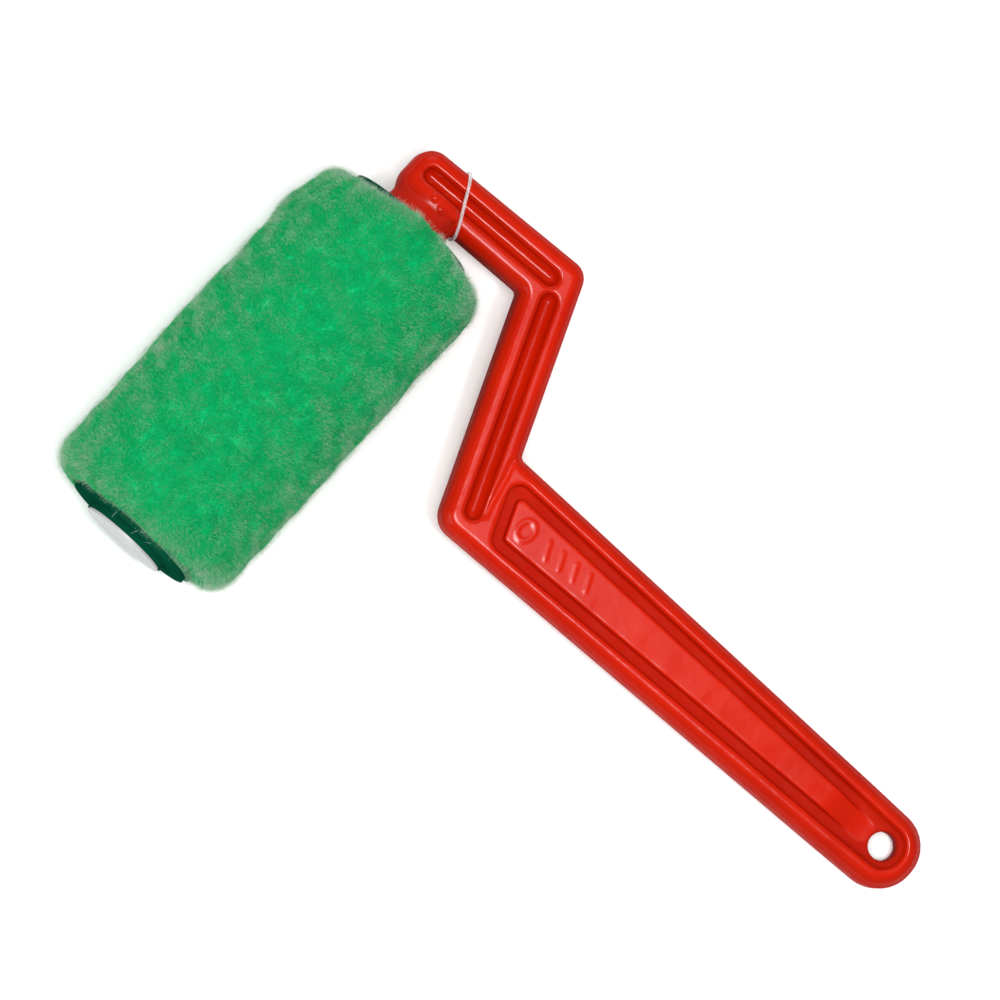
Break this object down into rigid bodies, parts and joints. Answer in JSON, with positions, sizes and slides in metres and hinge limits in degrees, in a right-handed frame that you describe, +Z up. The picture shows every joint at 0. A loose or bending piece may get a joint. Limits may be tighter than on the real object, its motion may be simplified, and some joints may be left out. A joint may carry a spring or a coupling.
{
  "type": "paint roller",
  "caption": "Small paint roller: a green pile sleeve on a core tube spins on the spindle of a one-piece cranked red plastic frame with a hanging hole in its grip.",
  "frame": {"origin": "under the middle of the object's box, on the surface that it lies on", "axes": "+X along the roller's axis towards the arm, the grip points to -Y, +Z up; the pile and the end of the grip both touch z = 0"},
  "size_m": [0.1214, 0.2174, 0.053],
  "materials": {
    "red_plastic": "glossy moulded polypropylene",
    "pile": "short matted synthetic fur",
    "backing": "knitted backing",
    "green_plastic": "dark green extruded plastic",
    "pale_plastic": "pale grey moulded plastic",
    "steel": "drawn steel wire",
    "clear_nylon": "clear nylon filament"
  },
  "bodies": {
    "frame": {"handle_frame": "red_plastic", "spindle": "steel", "thrust_washer": "pale_plastic", "push_nut": "steel", "tag_loop": "clear_nylon"},
    "roller": {"core_tube": "green_plastic", "inner_end_cap": "green_plastic", "outer_end_cap": "green_plastic", "end_plug": "pale_plastic", "pile_backing": "backing", "pile_sleeve": "pile"}
  },
  "joints": [
    {"name": "roller_spin", "type": "hinge", "parent": "frame", "child": "roller", "pos_m": [0, 0.08224, 0.0265], "axis": [1, 0, 0], "continuous": true}
  ]
}
